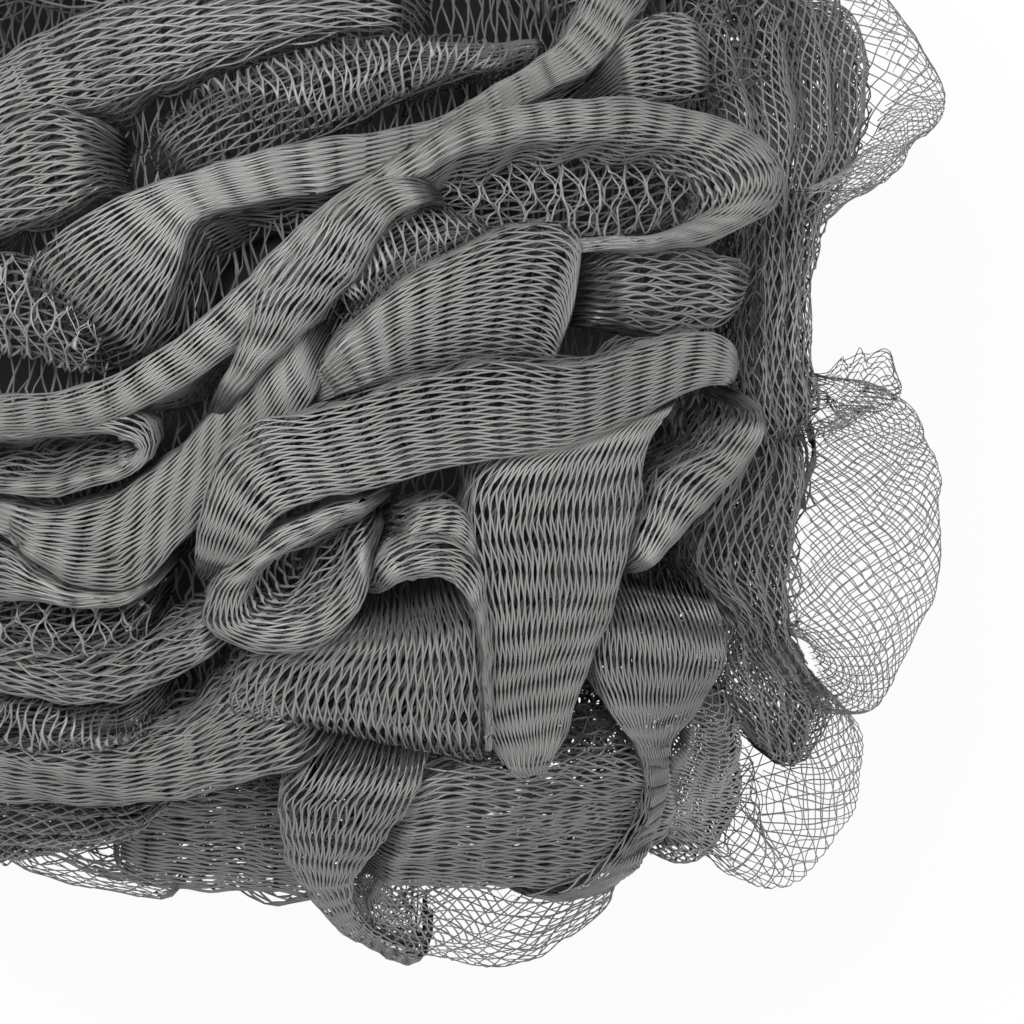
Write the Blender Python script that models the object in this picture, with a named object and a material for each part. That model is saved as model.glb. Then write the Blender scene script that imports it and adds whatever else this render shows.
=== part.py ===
"""Mesh bath pouf. One long tube of extruded diamond net is gathered at its middle by a knotted cord
and fluffed out into a ball of folds. The ball rests on a flat spot, with the origin in the middle of
that spot and +Z up. The view from above is the one that shows the long sweeping folds."""

import math

import bmesh
import bpy
from mathutils import Matrix, Vector

# Driving dimensions, in metres
BALL_R = 0.066
FLAT_DEPTH = 0.008
FLAT_EXTRA = 0.004
NET_DEPTH = 0.017
WAIST_R = 0.008
GROOVE_H = 0.0046
TIE_CORD_R = 0.0011
TIE_GAP = 0.0003
KNOT_R = 0.0018
TIE_ROOM_R = 0.0135
PASSAGE_W = 0.006
PASSAGE_TURN = math.radians(135)
FOLD_CROWN = 0.0024
CROWN_SHARE = 0.4
FOLD_STEP = 0.013
END_DIP = 0.007
END_SHARE = 0.16
ROOT_SINK = 0.012
RIM_DROOP = 0.6
LIFT_STEP = 0.001
LEAF_WALL_T = 0.0022
LEAF_RIM_T = 0.0012
LEAF_GAP_L = 0.0028
LEAF_GAP_W = 0.0022
LEAF_GAP_STEP = 0.004
RUFFLE_WIDTH = 0.0105
RUFFLE_WAVE_H = 0.0055
RUFFLE_RISE = 0.0016
RUFFLE_STEP = 0.0085
RUFFLE_TWIST = 2.4

# The ball sags a little where it rests, and the packed net inside it follows the outer folds.
MIDDLE_Z = BALL_R - FLAT_DEPTH
CORE_R = BALL_R - NET_DEPTH
CORE_DEPTH = MIDDLE_Z + FLAT_EXTRA

# The large folds are given by points in pixels of the view from above, where the ball's radius is
# BALL_R_PX and its middle lies at MIDDLE_PX. A lift is counted in LIFT_STEP on the same ball.
BALL_R_PX = 660
MIDDLE_PX = (289, 312)
PX = BALL_R / BALL_R_PX

NET_GREY = (0.27, 0.275, 0.265, 1.0)
CORD_GREY = (0.42, 0.42, 0.40, 1.0)
MIDDLE = Vector((0.0, 0.0, MIDDLE_Z))

# The ruffles outside that view, each a row round the ball: its angle from the top, how many waves a
# whole turn would hold, the angles where it starts and ends, counted from +X, and how many steps of
# LIFT_STEP it lies deeper.
RUFFLE_ROWS = [
    (40, 6, 50, 228, 0), (54, 8, 34, 238, 0), (68, 9, 28, 243, 0), (82, 10, 26, 245, 0),
    (79, 9, -118, 28, 4), (96, 11, 10, 370, 0), (110, 10, 150, 510, 0), (124, 9, -80, 280, 0),
    (138, 7, 60, 420, 0), (152, 5, 200, 560, 0),
]

# Where the rows are pressed in: the angle from +X, how far that reaches to each side, and how many
# steps deep. The last one lies under the open lobes.
DENTS = [(3, 16, 8), (-104, 26, 9), (-44, 70, 12)]

# Each fold: its name, how far its two edges lie above the ball, and its stations, each one point on
# the first edge and one on the second.
TRACED_FOLDS = [
    ("upper_left_face", 2, -1, [
        (10, 300, 95, 368), (45, 255, 150, 345), (100, 212, 183, 290), (165, 182, 205, 228),
        (250, 156, 275, 208), (330, 142, 335, 196), (400, 130, 395, 165), (470, 112, 450, 135)]),
    ("eye_band", 5, 4, [
        (-120, 420, -110, 470), (0, 402, 0, 447), (100, 383, 118, 425), (190, 335, 225, 365),
        (260, 275, 285, 310), (330, 212, 348, 232), (400, 163, 410, 190), (480, 123, 490, 158),
        (600, 100, 600, 142), (690, 114, 680, 152), (755, 140, 715, 172), (783, 185, 728, 198),
        (760, 225, 705, 218), (690, 246, 650, 235), (600, 253, 585, 240), (540, 258, 530, 243)]),
    ("eye_inside", -4, -4, [
        (385, 195, 395, 205), (450, 168, 470, 228), (540, 150, 560, 240), (640, 150, 650, 236),
        (715, 178, 712, 210)]),
    ("arch", 3, 1, [
        (235, 395, 285, 410), (252, 350, 310, 362), (265, 310, 335, 318), (292, 262, 358, 285),
        (330, 218, 378, 250), (375, 190, 400, 222), (425, 196, 440, 225), (500, 236, 500, 246)]),
    ("under_arch", -3, -4, [
        (255, 430, 275, 430), (300, 370, 325, 380), (345, 315, 375, 335), (385, 262, 430, 290),
        (440, 228, 480, 262), (500, 240, 520, 246)]),
    ("pointed_lobe", 4, -1, [
        (288, 415, 300, 420), (330, 355, 350, 395), (390, 300, 400, 382), (450, 262, 445, 372),
        (510, 235, 490, 364), (560, 229, 520, 360), (580, 248, 540, 361), (577, 300, 553, 362),
        (566, 358, 562, 366)]),
    ("open_tip_lobe", 0, -2, [
        (575, 275, 580, 325), (610, 258, 620, 330), (650, 250, 660, 334), (700, 252, 700, 331),
        (740, 263, 730, 318), (757, 280, 752, 290)]),
    ("long_strip", 6, 5, [
        (190, 590, 215, 600), (205, 525, 262, 548), (242, 432, 300, 512), (330, 407, 370, 490),
        (420, 381, 440, 473), (500, 364, 510, 461), (580, 364, 585, 446), (650, 346, 640, 422),
        (705, 336, 690, 396), (745, 355, 735, 387), (757, 388, 750, 392)]),
    ("tongue", 3, 2, [
        (752, 388, 742, 392), (760, 410, 742, 412), (748, 455, 712, 447), (712, 503, 662, 480),
        (668, 550, 640, 525), (616, 584, 612, 580)]),
    ("hanging_lobe", 4, 4, [
        (600, 430, 705, 390), (545, 443, 668, 412), (497, 463, 651, 452), (473, 510, 640, 505),
        (480, 580, 620, 575), (487, 655, 600, 640), (488, 725, 575, 705), (500, 764, 552, 752),
        (522, 779, 535, 774)]),
    ("left_panel", 1, 3, [
        (330, 625, 470, 585), (285, 645, 485, 630), (245, 672, 487, 690), (232, 700, 488, 740),
        (245, 718, 492, 777)]),
    ("rolled_edge", 7, 6, [
        (372, 600, 374, 610), (380, 560, 398, 583), (410, 540, 425, 576), (450, 540, 447, 577),
        (475, 560, 462, 592), (487, 600, 471, 625), (491, 680, 477, 690), (494, 768, 485, 762)]),
    ("panel_top", 3, 3, [
        (392, 520, 376, 575), (420, 505, 400, 548), (455, 502, 440, 540), (472, 520, 465, 548),
        (482, 560, 478, 575)]),
    ("scroll", 5, 4, [
        (400, 492, 405, 500), (350, 508, 355, 520), (290, 530, 305, 545), (240, 560, 268, 565),
        (210, 590, 250, 590), (212, 625, 253, 612), (240, 645, 275, 618), (280, 652, 300, 610),
        (325, 640, 325, 592), (355, 612, 345, 570), (372, 570, 365, 545), (392, 525, 385, 520)]),
    ("left_loop", 4, 3, [
        (-100, 430, -100, 450), (0, 415, 0, 445), (60, 403, 60, 437), (115, 403, 105, 432),
        (150, 418, 132, 438), (163, 442, 147, 448), (150, 468, 135, 460), (105, 487, 100, 470),
        (50, 500, 50, 480), (0, 497, 0, 480), (-100, 480, -100, 468)]),
    ("smile_1", 1, 2, [
        (-110, 480, -110, 520), (0, 502, 0, 535), (50, 512, 35, 562), (105, 502, 80, 588),
        (155, 474, 130, 588), (205, 434, 185, 550), (250, 395, 228, 500), (300, 360, 290, 420)]),
    ("smile_2", 1, 1, [
        (-100, 530, -100, 590), (0, 548, 0, 600), (40, 574, 50, 602), (85, 590, 100, 606),
        (135, 588, 148, 596), (178, 565, 182, 575)]),
    ("curly_1", -3, -3, [
        (-90, 600, -90, 650), (0, 602, 0, 652), (60, 607, 60, 662), (120, 606, 115, 655),
        (172, 588, 165, 625)]),
    ("smile_3", 0, 0, [
        (-90, 655, -90, 690), (0, 657, 0, 692), (60, 666, 60, 702), (120, 657, 120, 697),
        (180, 634, 185, 672), (240, 612, 250, 640)]),
    ("curly_2", -2, -2, [
        (-90, 700, -90, 748), (0, 703, 0, 750), (60, 707, 60, 750), (120, 702, 120, 743),
        (175, 690, 170, 718)]),
    ("smile_4", 1, 1, [
        (-80, 757, -80, 800), (0, 754, 0, 802), (70, 754, 70, 806), (140, 744, 140, 802),
        (200, 720, 200, 795), (245, 690, 260, 778), (300, 655, 345, 750)]),
    ("left_veil", -5, -5, [
        (-80, 800, -80, 880), (0, 800, 0, 868), (60, 800, 40, 858), (130, 802, 90, 842),
        (200, 800, 160, 818)]),
    ("bottom_veil", -14, -14, [
        (-60, 800, -60, 890), (60, 800, 60, 866), (160, 800, 140, 893), (240, 798, 230, 897),
        (300, 800, 330, 900)]),
    ("fold_edge", 3, 2, [
        (352, 758, 440, 762), (305, 785, 422, 788), (283, 805, 398, 818), (281, 840, 375, 848),
        (293, 875, 360, 878), (315, 905, 352, 905), (350, 928, 356, 930)]),
    ("curtain_top", 0, -1, [
        (395, 815, 362, 880), (450, 785, 430, 882), (520, 783, 505, 888), (590, 775, 580, 875),
        (645, 775, 640, 845)]),
    ("curtain_rim", -13, -1, [
        (358, 872, 352, 912), (430, 875, 392, 948), (505, 880, 470, 970), (580, 868, 560, 945),
        (640, 835, 640, 885)]),
    ("gathered_lobe", 2, 2, [
        (597, 608, 735, 612), (592, 660, 725, 660), (607, 712, 703, 705), (638, 745, 676, 742),
        (647, 790, 666, 782), (640, 830, 664, 815), (608, 866, 650, 848), (555, 895, 622, 885),
        (490, 915, 560, 930)]),
    ("roll_right", -2, -2, [
        (690, 690, 725, 680), (690, 740, 742, 730), (668, 775, 747, 780), (665, 810, 742, 820),
        (670, 850, 715, 858), (650, 880, 680, 890)]),
    ("veil_top_right", -16, -16, [
        (690, -40, 830, -20), (700, 60, 845, 60), (745, 130, 850, 120), (768, 230, 820, 215),
        (760, 330, 803, 290), (765, 400, 806, 350), (790, 470, 828, 425)]),
    ("lobe_a", -11, -1, [
        (800, -90, 850, -80), (845, -20, 885, -5), (880, 40, 930, 55), (885, 100, 952, 100),
        (860, 150, 905, 158), (828, 196, 841, 209)]),
    ("right_mass", -12, -12, [
        (760, 390, 830, 425), (720, 470, 805, 500), (690, 560, 800, 580), (735, 620, 800, 650),
        (720, 700, 830, 700), (745, 760, 850, 760)]),
    ("lobe_b", -16, -2, [
        (840, 420, 893, 385), (805, 455, 930, 430), (800, 520, 947, 500), (790, 590, 938, 590),
        (806, 656, 900, 661), (820, 702, 868, 734)]),
    ("loop_b", 2, 2, [
        (822, 375, 828, 428), (850, 362, 850, 420), (885, 362, 880, 405), (893, 395, 885, 420)]),
    ("lobe_c", -3, -3, [
        (843, 687, 859, 703), (805, 755, 866, 790), (775, 770, 848, 842), (745, 785, 800, 888),
        (725, 815, 745, 890), (700, 850, 705, 872)]),
    ("top_left_loops", 0, 0, [
        (120, 150, 150, 172), (180, 110, 215, 160), (250, 75, 275, 148), (330, 50, 340, 125),
        (420, 42, 410, 95), (500, 40, 480, 75), (570, 20, 570, 55)]),
    ("top_left_face", 1, 0, [
        (-60, 190, -60, 260), (0, 140, 0, 235), (60, 115, 60, 215), (120, 130, 130, 185)]),
    ("top_left_band", 0, 0, [
        (-80, 130, -60, 170), (0, 70, 20, 125), (90, 20, 110, 105), (200, -20, 200, 70),
        (320, -40, 320, 40), (440, -50, 440, 30)]),
    ("top_band", 2, 1, [
        (410, 105, 400, 130), (470, 85, 470, 117), (530, 55, 545, 95), (575, 10, 595, 60),
        (600, -40, 640, 20), (610, -90, 680, -30)]),
    ("top_fold", 0, -2, [
        (590, 75, 600, 105), (640, 20, 650, 100), (690, 15, 700, 95), (715, 60, 712, 85)]),
]

# The open lobes at the rim of that view, which are thin leaves of net, and how many rows of gaps show.
OPEN_LOBES = {"lobe_a": 2, "lobe_b": 3, "lobe_c": 2, "curtain_rim": 2}


def drop_old_scene():
    for old in list(bpy.data.objects):
        bpy.data.objects.remove(old, do_unlink=True)


def plain_material(name, colour, roughness):
    mat = bpy.data.materials.new(name)
    mat.use_nodes = True
    shader = mat.node_tree.nodes["Principled BSDF"]
    shader.inputs["Base Color"].default_value = colour
    shader.inputs["Roughness"].default_value = roughness
    shader.inputs["Metallic"].default_value = 0.0
    return mat


def mesh_object(name, bm):
    """A new object from a bmesh, with its faces turned out."""
    bmesh.ops.recalc_face_normals(bm, faces=bm.faces[:])
    mesh = bpy.data.meshes.new(name)
    bm.to_mesh(mesh)
    bm.free()
    obj = bpy.data.objects.new(name, mesh)
    bpy.context.scene.collection.objects.link(obj)
    return obj


def on_ball(px, py, lift):
    """A point of the view from above, set on the ball and raised by its lift. Past the rim of the ball
    the surface droops on, so that a lobe's outer edge is its lower one."""
    x = (px - MIDDLE_PX[0]) * PX
    y = (MIDDLE_PX[1] - py) * PX
    radius = math.hypot(x, y)
    height = math.sqrt(max(BALL_R**2 - radius**2, 0.0)) - max(radius - BALL_R, 0.0) * RIM_DROOP
    return Vector((x, y, MIDDLE_Z + height + lift * LIFT_STEP))


def smooth_between(points, i, u):
    """Catmull-Rom curve through a list of points, at u of the way from point i to the next."""
    last = len(points) - 1
    p0, p1 = points[max(i - 1, 0)], points[i]
    p2, p3 = points[min(i + 1, last)], points[min(i + 2, last)]
    return 0.5 * (2 * p1 + (p2 - p0) * u + (2 * p0 - 5 * p1 + 4 * p2 - p3) * u**2
                  + (3 * p1 - p0 - 3 * p2 + p3) * u**3)


def resampled(edge_a, edge_b):
    """The two edges of a fold, smoothed, with a station about every FOLD_STEP."""
    pairs = []
    for i in range(len(edge_a) - 1):
        middle_run = (edge_a[i + 1] + edge_b[i + 1] - edge_a[i] - edge_b[i]).length / 2
        steps = max(1, round(middle_run / FOLD_STEP))
        for k in range(steps):
            pairs.append((smooth_between(edge_a, i, k / steps), smooth_between(edge_b, i, k / steps)))
    pairs.append((edge_a[-1], edge_b[-1]))
    return pairs


def toward_middle(point, radius):
    """The point's direction from the middle of the ball, at another radius."""
    return MIDDLE + (point - MIDDLE).normalized() * radius


def fold_section(a, b):
    """Five points round a fold: its two roots inside the core, its two edges and its crowned back."""
    out = ((a + b) / 2 - MIDDLE).normalized()
    root_r = CORE_R - ROOT_SINK
    crown = out * min(FOLD_CROWN, (b - a).length * CROWN_SHARE)
    return [toward_middle(a, root_r), a, (a + b) / 2 + crown, b, toward_middle(b, root_r)]


def leaf_section(a, b):
    """Seven points round an open lobe: a wall that stands on the core, bent over into a thin leaf."""
    side = (b - a).normalized()
    out = (a - MIDDLE).normalized()
    up = (out - side * out.dot(side)).normalized()
    under = a + (b - a) * CROWN_SHARE - up * LEAF_WALL_T
    rim = b - side * LEAF_RIM_T - up * LEAF_RIM_T
    root_r = CORE_R - ROOT_SINK
    crown = up * min(FOLD_CROWN / 2, (b - a).length * CROWN_SHARE)
    return [toward_middle(a, root_r), a, (a + b) / 2 + crown, b, rim, under, toward_middle(under, root_r)]


def dipped(edge_a, edge_b):
    """The stations of a fold, smoothed, with both ends dipped into the ball."""
    pairs = resampled(edge_a, edge_b)
    last = len(pairs) - 1
    laid = []
    for i, (a, b) in enumerate(pairs):
        to_end = min(i, last - i) / last / END_SHARE
        down = ((a + b) / 2 - MIDDLE).normalized() * END_DIP * max(0.0, 1.0 - to_end) ** 2
        laid.append((a - down, b - down))
    return laid


def add_fold(bm, edge_a, edge_b, section):
    """One fold as a closed body, lofted through its sections."""
    rings = [[bm.verts.new(p) for p in section(a, b)] for a, b in dipped(edge_a, edge_b)]
    for ring, after in zip(rings, rings[1:]):
        for k in range(len(ring)):
            n = (k + 1) % len(ring)
            bm.faces.new((ring[k], ring[n], after[n], after[k]))
    bm.faces.new(rings[0])
    bm.faces.new(list(reversed(rings[-1])))


def dent_depth(turn):
    """How far the ball is pressed in at an angle from +X."""
    depth = 0.0
    for angle, reach, deepest in DENTS:
        off = (math.degrees(turn) - angle + 180) % 360 - 180
        if abs(off) < reach:
            depth += deepest * LIFT_STEP * math.cos(off / reach * math.pi / 2) ** 2
    return depth


def ruffle_edges(polar, wave_count, phase, start, end, sink):
    """The two edges of a ruffle, which meanders along a circle of latitude between two azimuths."""
    run = BALL_R * math.sin(polar) * (end - start)
    stations = round(run / RUFFLE_STEP)
    middle = []
    for i in range(stations + 1):
        turn = start + (end - start) * i / stations
        wave = wave_count * turn + phase + 0.5 * math.sin(2 * turn + phase)
        height = BALL_R - sink * LIFT_STEP - dent_depth(turn) + RUFFLE_RISE * math.sin(2 * wave + phase)
        slope = polar + RUFFLE_WAVE_H / BALL_R * math.sin(wave)
        flat = height * math.sin(slope)
        middle.append(Vector((flat * math.cos(turn), flat * math.sin(turn), height * math.cos(slope))))
    edge_a, edge_b = [], []
    for i, point in enumerate(middle):
        forward = middle[min(i + 1, stations)] - middle[max(i - 1, 0)]
        side = forward.cross(point).normalized() * RUFFLE_WIDTH / 2
        edge_a.append(MIDDLE + (point + side).normalized() * point.length)
        edge_b.append(MIDDLE + (point - side).normalized() * point.length)
    return edge_a, edge_b


def traced_edges(fold):
    """The two edges of a traced fold, which draw together in height where it narrows."""
    _, lift_a, lift_b, stations = fold
    widths = [math.dist(s[:2], s[2:]) for s in stations]
    lifts = [lift_b + (lift_a - lift_b) * w / max(widths) for w in widths]
    return ([on_ball(s[0], s[1], lift) for s, lift in zip(stations, lifts)],
            [on_ball(s[2], s[3], lift_b) for s in stations])


def open_lobes():
    bm = bmesh.new()
    for fold in TRACED_FOLDS:
        if fold[0] in OPEN_LOBES:
            add_fold(bm, *traced_edges(fold), leaf_section)
    return bm


def all_folds():
    """Every other fold of the ball in one mesh of overlapping closed bodies."""
    bm = bmesh.new()
    for fold in TRACED_FOLDS:
        if fold[0] not in OPEN_LOBES:
            add_fold(bm, *traced_edges(fold), fold_section)
    for row, (polar, wave_count, start, end, sink) in enumerate(RUFFLE_ROWS):
        angles = [math.radians(v) for v in (polar, start, end)]
        edges = ruffle_edges(angles[0], wave_count, RUFFLE_TWIST * row, angles[1], angles[2], sink)
        add_fold(bm, *edges, fold_section)
    return bm


def add_gap(bm, middle, along, side):
    """One diamond prism that stands through a leaf."""
    through = side.cross(along).normalized() * LEAF_WALL_T * 1.5
    long_half, short_half = along * LEAF_GAP_L / 2, side * LEAF_GAP_W / 2
    corners = [middle + long_half, middle + short_half, middle - long_half, middle - short_half]
    top = [bm.verts.new(c + through) for c in corners]
    low = [bm.verts.new(c - through) for c in corners]
    bm.faces.new(top)
    bm.faces.new(list(reversed(low)))
    for k in range(4):
        bm.faces.new((top[(k + 1) % 4], top[k], low[k], low[(k + 1) % 4]))


def lobe_gaps():
    """Cutters for the diamond gaps of the open lobes, in staggered rows from each lobe's rim inward."""
    bm = bmesh.new()
    for fold in TRACED_FOLDS:
        pairs = dipped(*traced_edges(fold))[1:-1]
        for row in range(OPEN_LOBES.get(fold[0], 0)):
            reach = LEAF_GAP_STEP * (0.75 + 0.8 * row)
            line = [b + (a - b).normalized() * reach for a, b in pairs]
            run = LEAF_GAP_STEP * (1 + row % 2) / 2
            for k in range(len(pairs) - 1):
                step = line[k + 1] - line[k]
                room = min((a - b).length for a, b in pairs[k:k + 2]) - reach
                while run <= step.length:
                    if room > LEAF_WALL_T + LEAF_GAP_W:
                        a, b = pairs[k]
                        add_gap(bm, line[k] + step.normalized() * run, step.normalized(), (a - b).normalized())
                    run += LEAF_GAP_STEP
                run -= step.length
    return bm


def core_body():
    """The packed net inside: a turned ball, deeper below its middle, where it rests."""
    bm = bmesh.new()
    bmesh.ops.create_uvsphere(bm, u_segments=20, v_segments=10, radius=CORE_R)
    for v in bm.verts:
        if v.co.z < 0:
            v.co.z *= CORE_DEPTH / CORE_R
        v.co.z += MIDDLE_Z
    return bm


def tie_space():
    """Cutter for the room round the waist, and for the gap between two folds that runs in to it."""
    bm = bmesh.new()
    outline = [(WAIST_R, -GROOVE_H / 2), (TIE_ROOM_R, -GROOVE_H / 2), (TIE_ROOM_R, GROOVE_H / 2),
               (WAIST_R, GROOVE_H / 2)]
    ring = [bm.verts.new((r, 0.0, MIDDLE_Z + z)) for r, z in outline]
    edges = [bm.edges.new((ring[k], ring[(k + 1) % 4])) for k in range(4)]
    bmesh.ops.spin(bm, geom=ring + edges, cent=(0, 0, 0), axis=(0, 0, 1), angle=math.tau, steps=20,
                   use_merge=True)
    return bm


def tie_passage():
    bm = bmesh.new()
    bmesh.ops.create_cube(bm, size=1.0)
    start = (WAIST_R + TIE_ROOM_R) / 2
    bmesh.ops.scale(bm, verts=bm.verts[:], vec=(BALL_R * 1.2, PASSAGE_W, GROOVE_H))
    bmesh.ops.translate(bm, verts=bm.verts[:], vec=(BALL_R * 0.6 + start, 0, MIDDLE_Z))
    bmesh.ops.rotate(bm, verts=bm.verts[:], cent=(0, 0, 0), matrix=Matrix.Rotation(PASSAGE_TURN, 3, 'Z'))
    return bm


def floor_cutter():
    bm = bmesh.new()
    bmesh.ops.create_cube(bm, size=1.0)
    bmesh.ops.scale(bm, verts=bm.verts[:], vec=(BALL_R * 4, BALL_R * 4, BALL_R))
    bmesh.ops.translate(bm, verts=bm.verts[:], vec=(0, 0, -BALL_R / 2))
    return bm


def guide(obj):
    obj.hide_render = True
    obj.display_type = 'WIRE'
    return obj


def boolean(obj, other, operation):
    mod = obj.modifiers.new(operation.lower(), 'BOOLEAN')
    mod.operation = operation
    mod.solver = 'EXACT'
    mod.use_self = True
    mod.object = other
    return mod


def make_net():
    net = mesh_object("gathered_net", core_body())
    boolean(net, guide(mesh_object("folds_guide", all_folds())), 'UNION')
    boolean(net, guide(mesh_object("lobes_guide", open_lobes())), 'UNION')
    boolean(net, guide(mesh_object("lobe_gaps_guide", lobe_gaps())), 'DIFFERENCE')
    boolean(net, guide(mesh_object("floor_guide", floor_cutter())), 'DIFFERENCE')
    boolean(net, guide(mesh_object("tie_space_guide", tie_space())), 'DIFFERENCE')
    boolean(net, guide(mesh_object("tie_passage_guide", tie_passage())), 'DIFFERENCE')
    net.data.materials.append(plain_material("grey_net", NET_GREY, 0.45))
    return net


def make_tie():
    """The cord round the waist, with the small round lump of its knot."""
    bm = bmesh.new()
    ring_r = WAIST_R + TIE_GAP + TIE_CORD_R
    bmesh.ops.create_circle(bm, segments=8, radius=TIE_CORD_R)
    bmesh.ops.rotate(bm, verts=bm.verts[:], cent=(0, 0, 0), matrix=Matrix.Rotation(math.pi / 2, 3, 'X'))
    bmesh.ops.translate(bm, verts=bm.verts[:], vec=(ring_r, 0, MIDDLE_Z))
    bmesh.ops.spin(bm, geom=bm.verts[:] + bm.edges[:], cent=(0, 0, 0), axis=(0, 0, 1), angle=math.tau,
                   steps=32, use_merge=True)
    tie = mesh_object("centre_tie", bm)
    knot = bmesh.new()
    bmesh.ops.create_uvsphere(knot, u_segments=12, v_segments=8, radius=KNOT_R)
    bmesh.ops.translate(knot, verts=knot.verts[:], vec=(WAIST_R + TIE_GAP + KNOT_R, 0, MIDDLE_Z))
    boolean(tie, guide(mesh_object("knot_guide", knot)), 'UNION')
    tie.data.materials.append(plain_material("cord", CORD_GREY, 0.6))
    return tie


drop_old_scene()
make_net()
make_tie()
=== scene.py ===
import math

import bmesh
import bpy
import numpy as np
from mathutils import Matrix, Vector


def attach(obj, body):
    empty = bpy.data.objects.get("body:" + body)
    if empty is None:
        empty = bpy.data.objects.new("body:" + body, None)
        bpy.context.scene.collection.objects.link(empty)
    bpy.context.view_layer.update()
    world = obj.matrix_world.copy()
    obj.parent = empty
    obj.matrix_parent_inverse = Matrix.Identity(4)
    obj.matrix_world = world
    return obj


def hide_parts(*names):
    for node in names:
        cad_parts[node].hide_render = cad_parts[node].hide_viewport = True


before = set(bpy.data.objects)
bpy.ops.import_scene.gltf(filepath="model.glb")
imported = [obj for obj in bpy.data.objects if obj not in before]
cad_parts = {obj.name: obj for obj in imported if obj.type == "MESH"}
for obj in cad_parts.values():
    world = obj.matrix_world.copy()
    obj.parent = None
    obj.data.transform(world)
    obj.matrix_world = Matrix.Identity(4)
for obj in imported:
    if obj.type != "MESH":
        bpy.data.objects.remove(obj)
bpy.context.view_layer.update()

# The stand-in floor, the soft studio light and the camera. The floor is a pale sheet of card, lit by
# two wide lamps, and the camera looks straight down on the lower right part of the ball.
FLOOR_SIZE = 6.0
FLOOR_WHITE = 0.93
FLOOR_SHARE_LIT = 0.05
CARD_ROUGHNESS = 0.9
SKY_LIGHT = 0.17
VIEW_MIDDLE = (0.0223, -0.02)
VIEW_WIDTH = 0.1024
VIEW_HEIGHT = 0.09
CAMERA_AWAY = 2.0
LAMPS_AIM = Vector((0, 0, 0.06))


def seen_rays(tree):
    """1 for what the camera sees, also in a reflection or through a clear thing, and 0 for light."""
    path = tree.nodes.new("ShaderNodeLightPath")
    total = path.outputs["Is Camera Ray"]
    for kind in ("Is Glossy Ray", "Is Transmission Ray"):
        add = tree.nodes.new("ShaderNodeMath")
        add.operation = 'ADD'
        add.use_clamp = True
        tree.links.new(total, add.inputs[0])
        tree.links.new(path.outputs[kind], add.inputs[1])
        total = add.outputs[0]
    return total


def make_floor():
    bm = bmesh.new()
    bmesh.ops.create_grid(bm, x_segments=2, y_segments=2, size=FLOOR_SIZE / 2)
    mesh = bpy.data.meshes.new("studio_floor")
    bm.to_mesh(mesh)
    bm.free()
    floor = bpy.data.objects.new("studio_floor", mesh)
    bpy.context.scene.collection.objects.link(floor)
    mat = bpy.data.materials.new("white_card")
    mat.use_nodes = True
    tree = mat.node_tree
    card = tree.nodes["Principled BSDF"]
    card.inputs["Base Color"].default_value = (FLOOR_WHITE, FLOOR_WHITE, FLOOR_WHITE, 1)
    card.inputs["Roughness"].default_value = CARD_ROUGHNESS
    glow = tree.nodes.new("ShaderNodeEmission")
    glow.inputs["Strength"].default_value = 1.0
    share = tree.nodes.new("ShaderNodeMath")
    share.operation = 'MULTIPLY'
    share.inputs[1].default_value = 1 - FLOOR_SHARE_LIT
    tree.links.new(seen_rays(tree), share.inputs[0])
    mix = tree.nodes.new("ShaderNodeMixShader")
    tree.links.new(share.outputs[0], mix.inputs["Fac"])
    tree.links.new(card.outputs[0], mix.inputs[1])
    tree.links.new(glow.outputs[0], mix.inputs[2])
    tree.links.new(mix.outputs[0], tree.nodes["Material Output"].inputs["Surface"])
    mesh.materials.append(mat)


def make_lamp(name, place, size, watts):
    light = bpy.data.lights.new(name, 'AREA')
    light.shape = 'DISK'
    light.size = size
    light.energy = watts
    lamp = bpy.data.objects.new(name, light)
    bpy.context.scene.collection.objects.link(lamp)
    lamp.location = place
    lamp.rotation_euler = (LAMPS_AIM - Vector(place)).to_track_quat('-Z', 'Y').to_euler()


def make_world():
    world = bpy.data.worlds.new("studio")
    bpy.context.scene.world = world
    world.use_nodes = True
    tree = world.node_tree
    sky = tree.nodes["Background"]
    sky.inputs["Color"].default_value = (1, 1, 1, 1)
    sky.inputs["Strength"].default_value = SKY_LIGHT
    white = tree.nodes.new("ShaderNodeBackground")
    white.inputs["Strength"].default_value = 1.0
    mix = tree.nodes.new("ShaderNodeMixShader")
    tree.links.new(seen_rays(tree), mix.inputs["Fac"])
    tree.links.new(sky.outputs[0], mix.inputs[1])
    tree.links.new(white.outputs[0], mix.inputs[2])
    tree.links.new(mix.outputs[0], tree.nodes["World Output"].inputs["Surface"])


def make_camera():
    data = bpy.data.cameras.new("camera")
    data.sensor_width = 36.0
    data.lens = data.sensor_width * CAMERA_AWAY / VIEW_WIDTH
    data.clip_start = 0.1
    data.clip_end = 20.0
    camera = bpy.data.objects.new("camera", data)
    bpy.context.scene.collection.objects.link(camera)
    camera.location = (*VIEW_MIDDLE, VIEW_HEIGHT + CAMERA_AWAY)
    bpy.context.scene.camera = camera


make_floor()
make_world()
make_lamp("key", (-0.2, 0.3, 1.18), 0.5, 12.2)
make_lamp("fill", (0.45, -0.5, 0.9), 0.8, 3.6)
make_camera()
bpy.context.scene.view_settings.view_transform = 'Standard'


# The tie: a thin braided cord round the gathered waist of the net, pulled tight in a knot. It is the
# first thing on the bench, and the net is spread out round it.
CORD_DARK = (0.30, 0.30, 0.28, 1)
CORD_PALE = (0.50, 0.50, 0.47, 1)
STRAND_SCALE = 900.0
STRAND_H = 0.0002


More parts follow.
